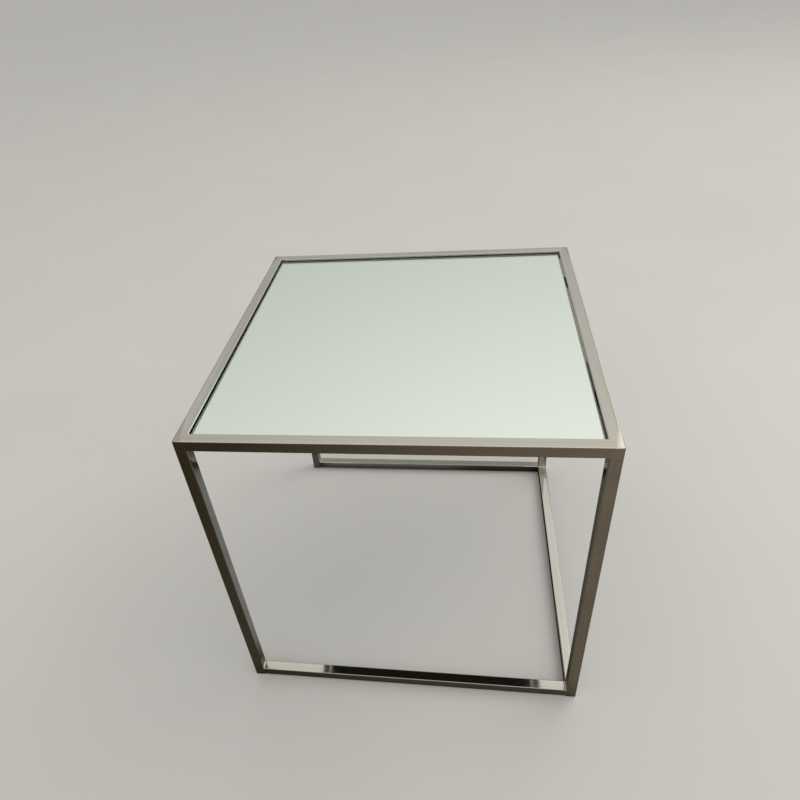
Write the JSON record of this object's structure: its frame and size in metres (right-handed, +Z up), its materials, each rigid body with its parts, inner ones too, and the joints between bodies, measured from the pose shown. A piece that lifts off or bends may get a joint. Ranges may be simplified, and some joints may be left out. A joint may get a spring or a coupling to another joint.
{
  "type": "cube side table",
  "caption": "Cube side table: welded frame of thin polished square tube, open at the floor on one side, with a mirror panel lying loose in its top.",
  "frame": {"origin": "on the floor, in the middle of the table", "axes": "+Z up; +Y to the back; -X is the side that is open at the floor"},
  "size_m": [0.4, 0.4, 0.4],
  "materials": {
    "polished_steel": "polished stainless tube with fine lines along its length",
    "weld_metal": "weld ground flush and hand polished",
    "lug_steel": "flat bar in mill finish",
    "mirror": "silvered float glass with seamed edges",
    "foam_tape": "white double-sided foam tape",
    "black_board": "black hardboard, smooth side down",
    "pad_silicone": "clear soft bumper",
    "glide_plastic": "moulded, lightly scuffed underneath"
  },
  "bodies": {
    "frame": {"floor_rail_back": "polished_steel", "floor_rail_front": "polished_steel", "floor_rail_right": "polished_steel", "floor_rail_welds": "weld_metal", "glide_back_left": "glide_plastic", "glide_back_right": "glide_plastic", "glide_front_left": "glide_plastic", "glide_front_right": "glide_plastic", "leg_back_left": "polished_steel", "leg_back_right": "polished_steel", "leg_front_left": "polished_steel", "leg_front_right": "polished_steel", "leg_head_welds": "weld_metal", "lug_back_1": "lug_steel", "lug_back_2": "lug_steel", "lug_front_1": "lug_steel", "lug_front_2": "lug_steel", "lug_left_1": "lug_steel", "lug_left_2": "lug_steel", "lug_right_1": "lug_steel", "lug_right_2": "lug_steel", "lug_welds": "weld_metal", "pad_back_1": "pad_silicone", "pad_back_2": "pad_silicone", "pad_front_1": "pad_silicone", "pad_front_2": "pad_silicone", "pad_left_1": "pad_silicone", "pad_left_2": "pad_silicone", "pad_right_1": "pad_silicone", "pad_right_2": "pad_silicone", "top_rail_back": "polished_steel", "top_rail_front": "polished_steel", "top_rail_left": "polished_steel", "top_rail_right": "polished_steel"},
    "mirror_panel": {"mirror_glass": "mirror", "mirror_tape": "foam_tape", "backing_board": "black_board"}
  },
  "joints": [
    {"name": "panel_lift_out", "type": "slide", "parent": "frame", "child": "mirror_panel", "axis": [0, 0, 1], "range_m": [0, 0.04]}
  ]
}
